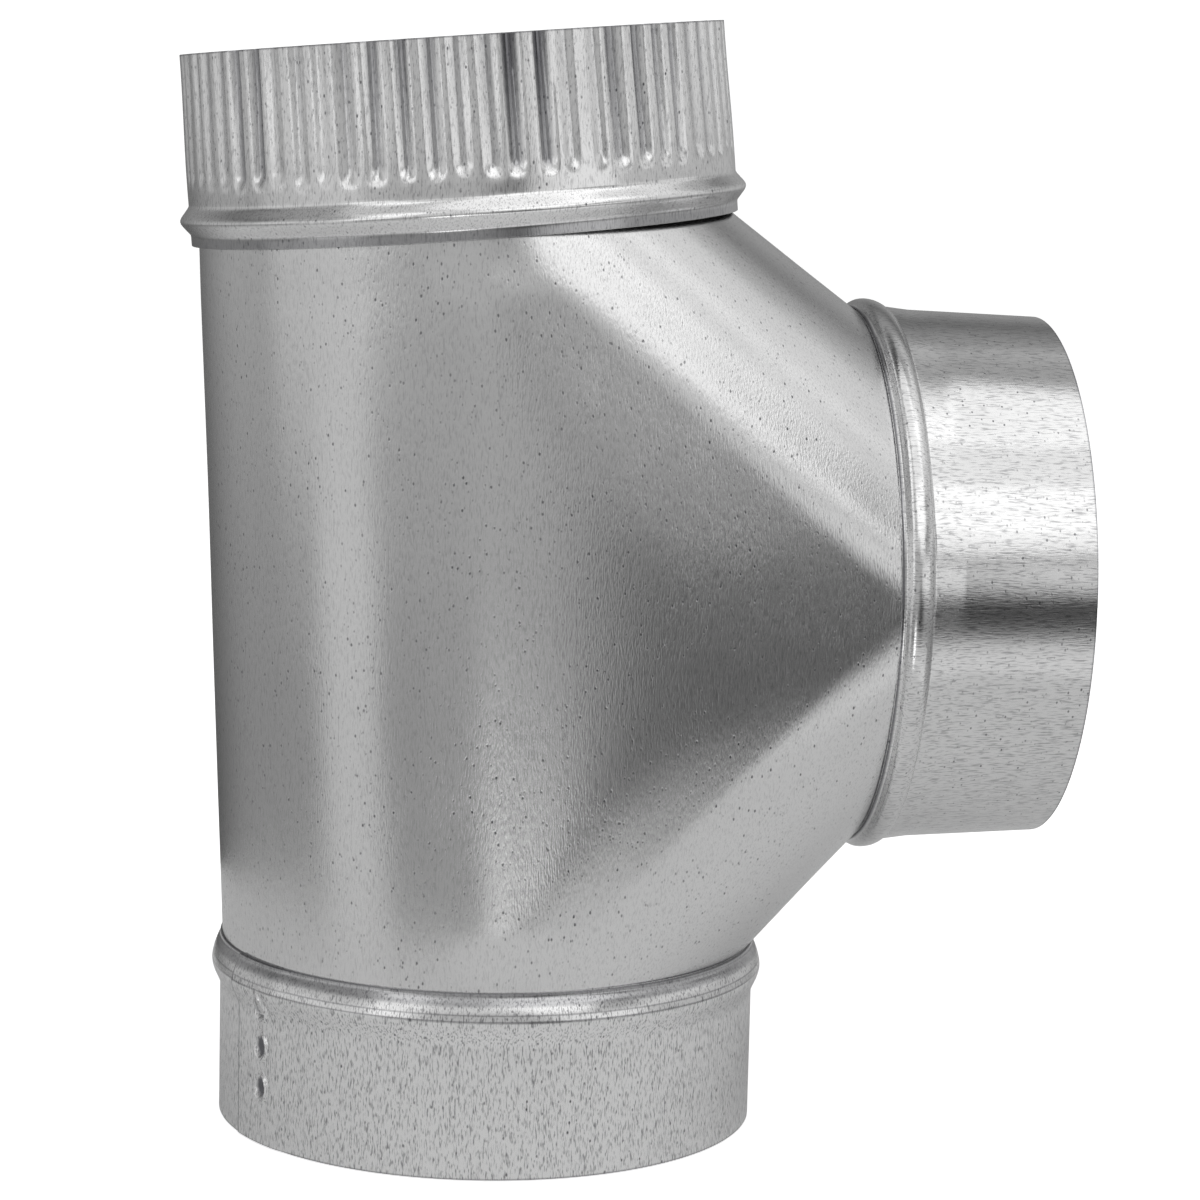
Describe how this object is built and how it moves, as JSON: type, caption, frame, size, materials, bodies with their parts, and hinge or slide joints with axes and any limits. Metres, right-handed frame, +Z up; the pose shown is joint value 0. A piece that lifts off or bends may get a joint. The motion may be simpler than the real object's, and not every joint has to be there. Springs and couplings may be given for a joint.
{
  "type": "furnace pipe tee",
  "caption": "Galvanised sheet-steel tee for round furnace and duct pipe, with a crimped top end, a plain bottom end and a plain side branch.",
  "frame": {"origin": "centre of the bottom collar's rim, on the plane that the tee stands on", "axes": "+Z up along the bottom collar's axis, towards the crimped end; +X along the branch's axis, out of the tee; the lap seams of the collars are at the front, -Y"},
  "size_m": [0.2463, 0.1591, 0.3128],
  "materials": {
    "galvanised_body": "satin zinc coat with fine rolling lines",
    "galvanised_collar": "satin zinc coat with fine rolling lines"
  },
  "bodies": {
    "root": {"tee_body": "galvanised_body", "crimped_collar": "galvanised_collar", "bottom_collar": "galvanised_collar", "branch_collar": "galvanised_collar"}
  },
  "joints": []
}
